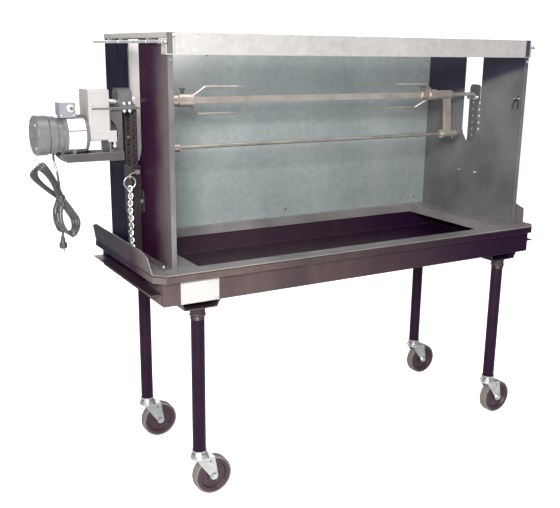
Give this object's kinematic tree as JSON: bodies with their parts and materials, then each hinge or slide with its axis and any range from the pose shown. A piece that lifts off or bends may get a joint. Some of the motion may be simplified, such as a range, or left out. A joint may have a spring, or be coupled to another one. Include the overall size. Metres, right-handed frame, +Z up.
{
  "type": "rotisserie spit roaster",
  "caption": "Wheeled charcoal trough on pipe legs with a three-sided hood, a motor-driven square spit with sliding forks and brace rod, and pinned height posts.",
  "frame": {"origin": "on the floor, under the middle of the bounding box", "axes": "+X along the trough away from the motor, +Y to the back panel, +Z up"},
  "size_m": [1.81, 0.668, 1.429],
  "materials": {
    "trough_paint": "semi-gloss dark paint over sheet steel",
    "deck_steel": "dull khaki-grey steel sheet",
    "plate_alu": "blank satin plate",
    "leg_paint": "semi-gloss dark paint",
    "socket_steel": "dark paint over a malleable iron socket",
    "panel_paint": "semi-gloss dark paint",
    "galvanised": "galvanised sheet, faint spangle",
    "zinc": "bright zinc plate",
    "wheel_core": "moulded brown phenolic",
    "wheel_tread": "grey rubber tread",
    "rod_steel": "drawn steel rod",
    "mast_paint": "semi-gloss dark paint",
    "post_steel": "galvanised perforated channel",
    "bracket_steel": "dark paint, bare edges",
    "block_iron": "machined cast iron",
    "case_paint": "off-white enamel",
    "motor_paint": "mid-grey enamel",
    "gear_steel": "machined steel",
    "box_alu": "silver enamel",
    "switch_chrome": "polished lever",
    "cord_rubber": "black rubber",
    "spit_steel": "bare steel, slightly heat-tinted",
    "screw_steel": "blackened steel",
    "roller_steel": "turned steel"
  },
  "bodies": {
    "frame": {"fire_trough": "trough_paint", "deck_frame": "deck_steel", "end_ledges": "trough_paint", "front_plate": "plate_alu", "leg_channels": "trough_paint", "leg_sockets": "socket_steel", "leg_pipes": "leg_paint", "caster_stems": "zinc", "side_panel_left": "panel_paint", "side_panel_right": "panel_paint", "back_panel": "galvanised", "front_top_bar": "galvanised", "panel_screws": "zinc", "rod_lugs": "zinc", "lift_masts": "mast_paint", "mast_brackets": "mast_paint", "mast_bolts": "zinc", "pin_chains": "zinc", "tool_hook": "zinc"},
    "left_carriage": {"lift_post_left": "post_steel", "motor_bracket": "bracket_steel", "bearing_block": "block_iron", "block_bolts": "zinc", "gearbox_case": "case_paint", "motor_housing": "motor_paint", "junction_box": "box_alu", "power_cord": "cord_rubber"},
    "right_carriage": {"lift_post_right": "post_steel", "keeper_plate": "post_steel"},
    "spit": {"output_shaft": "spit_steel", "output_gear": "gear_steel", "spit_bar": "spit_steel", "spit_arms": "spit_steel", "arm_screws": "screw_steel", "brace_rod": "rod_steel"},
    "rotor": {"motor_rotor": "gear_steel"},
    "idler": {"idler_gear": "gear_steel"},
    "fork_left": {"spit_fork_left": "spit_steel"},
    "fork_right": {"spit_fork_right": "spit_steel"},
    "clamp_left": {"fork_screw_left": "screw_steel"},
    "clamp_right": {"fork_screw_right": "screw_steel"},
    "roller_front": {"spit_roller_front": "roller_steel"},
    "roller_back": {"spit_roller_back": "roller_steel"},
    "switch": {"toggle_switch": "switch_chrome"},
    "pin_left": {"quick_pin_left": "zinc"},
    "pin_right": {"quick_pin_right": "zinc"},
    "rod_left": {"latch_rod_left": "rod_steel"},
    "rod_right": {"latch_rod_right": "rod_steel"},
    "caster_front_left": {"caster_fork_front_left": "zinc"},
    "wheel_front_left": {"caster_wheel_front_left": "wheel_core", "caster_tread_front_left": "wheel_tread"},
    "caster_front_right": {"caster_fork_front_right": "zinc"},
    "wheel_front_right": {"caster_wheel_front_right": "wheel_core", "caster_tread_front_right": "wheel_tread"},
    "caster_back_left": {"caster_fork_back_left": "zinc"},
    "wheel_back_left": {"caster_wheel_back_left": "wheel_core", "caster_tread_back_left": "wheel_tread"},
    "caster_back_right": {"caster_fork_back_right": "zinc"},
    "wheel_back_right": {"caster_wheel_back_right": "wheel_core", "caster_tread_back_right": "wheel_tread"}
  },
  "joints": [
    {"name": "left_lift", "type": "slide", "parent": "frame", "child": "left_carriage", "axis": [0, 0, 1], "range_m": [-0.127, 0.0508]},
    {"name": "right_lift", "type": "slide", "parent": "frame", "child": "right_carriage", "axis": [0, 0, 1], "range_m": [-0.127, 0.0508]},
    {"name": "spit_spin", "type": "hinge", "parent": "left_carriage", "child": "spit", "pos_m": [-0.61, -0.016, 1.227], "axis": [1, 0, 0], "continuous": true},
    {"name": "rotor_spin", "type": "hinge", "parent": "left_carriage", "child": "rotor", "pos_m": [-0.777, -0.016, 1.135], "axis": [1, 0, 0], "continuous": true},
    {"name": "idler_spin", "type": "hinge", "parent": "left_carriage", "child": "idler", "pos_m": [-0.717, -0.016, 1.181], "axis": [1, 0, 0], "continuous": true},
    {"name": "fork_left_slide", "type": "slide", "parent": "spit", "child": "fork_left", "axis": [1, 0, 0], "range_m": [0, 0.25]},
    {"name": "fork_right_slide", "type": "slide", "parent": "spit", "child": "fork_right", "axis": [1, 0, 0], "range_m": [-0.25, 0]},
    {"name": "clamp_left_turn", "type": "hinge", "parent": "fork_left", "child": "clamp_left", "pos_m": [-0.418, -0.016, 1.25], "axis": [0, 0, 1], "range_deg": [0, 180]},
    {"name": "clamp_right_turn", "type": "hinge", "parent": "fork_right", "child": "clamp_right", "pos_m": [0.564, -0.016, 1.25], "axis": [0, 0, 1], "range_deg": [0, 180]},
    {"name": "roller_front_spin", "type": "hinge", "parent": "right_carriage", "child": "roller_front", "pos_m": [0.818, -0.0305, 1.21633], "axis": [1, 0, 0], "continuous": true},
    {"name": "roller_back_spin", "type": "hinge", "parent": "right_carriage", "child": "roller_back", "pos_m": [0.818, -0.0015, 1.21633], "axis": [1, 0, 0], "continuous": true},
    {"name": "switch_toggle", "type": "hinge", "parent": "left_carriage", "child": "switch", "pos_m": [-0.787, -0.06, 1.214], "axis": [1, 0, 0], "range_deg": [-12, 12]},
    {"name": "pin_left_slide", "type": "slide", "parent": "frame", "child": "pin_left", "axis": [0, 1, 0], "range_m": [-0.006, 0.013]},
    {"name": "pin_right_slide", "type": "slide", "parent": "frame", "child": "pin_right", "axis": [0, 1, 0], "range_m": [-0.006, 0.013]},
    {"name": "rod_left_slide", "type": "slide", "parent": "frame", "child": "rod_left", "axis": [0, 1, 0], "range_m": [0, 0.055]},
    {"name": "rod_right_slide", "type": "slide", "parent": "frame", "child": "rod_right", "axis": [0, 1, 0], "range_m": [0, 0.055]},
    {"name": "swivel_front_left", "type": "hinge", "parent": "frame", "child": "caster_front_left", "pos_m": [-0.498, -0.288, 0.14], "axis": [0, 0, 1], "continuous": true},
    {"name": "roll_front_left", "type": "hinge", "parent": "caster_front_left", "child": "wheel_front_left", "pos_m": [-0.456, -0.288, 0.0635], "axis": [0, 1, 0], "continuous": true},
    {"name": "swivel_front_right", "type": "hinge", "parent": "frame", "child": "caster_front_right", "pos_m": [0.744, -0.288, 0.14], "axis": [0, 0, 1], "continuous": true},
    {"name": "roll_front_right", "type": "hinge", "parent": "caster_front_right", "child": "wheel_front_right", "pos_m": [0.786, -0.288, 0.0635], "axis": [0, 1, 0], "continuous": true},
    {"name": "swivel_back_left", "type": "hinge", "parent": "frame", "child": "caster_back_left", "pos_m": [-0.498, 0.164, 0.14], "axis": [0, 0, 1], "continuous": true},
    {"name": "roll_back_left", "type": "hinge", "parent": "caster_back_left", "child": "wheel_back_left", "pos_m": [-0.456, 0.164, 0.0635], "axis": [0, 1, 0], "continuous": true},
    {"name": "swivel_back_right", "type": "hinge", "parent": "frame", "child": "caster_back_right", "pos_m": [0.744, 0.164, 0.14], "axis": [0, 0, 1], "continuous": true},
    {"name": "roll_back_right", "type": "hinge", "parent": "caster_back_right", "child": "wheel_back_right", "pos_m": [0.786, 0.164, 0.0635], "axis": [0, 1, 0], "continuous": true}
  ],
  "couplings": [
    {"joint": "right_lift", "follows": "left_lift", "ratio": 1},
    {"joint": "idler_spin", "follows": "spit_spin", "ratio": -1.8868},
    {"joint": "rotor_spin", "follows": "spit_spin", "ratio": 8.9387},
    {"joint": "roller_front_spin", "follows": "spit_spin", "ratio": -0.6393},
    {"joint": "roller_back_spin", "follows": "spit_spin", "ratio": -0.6393}
  ]
}
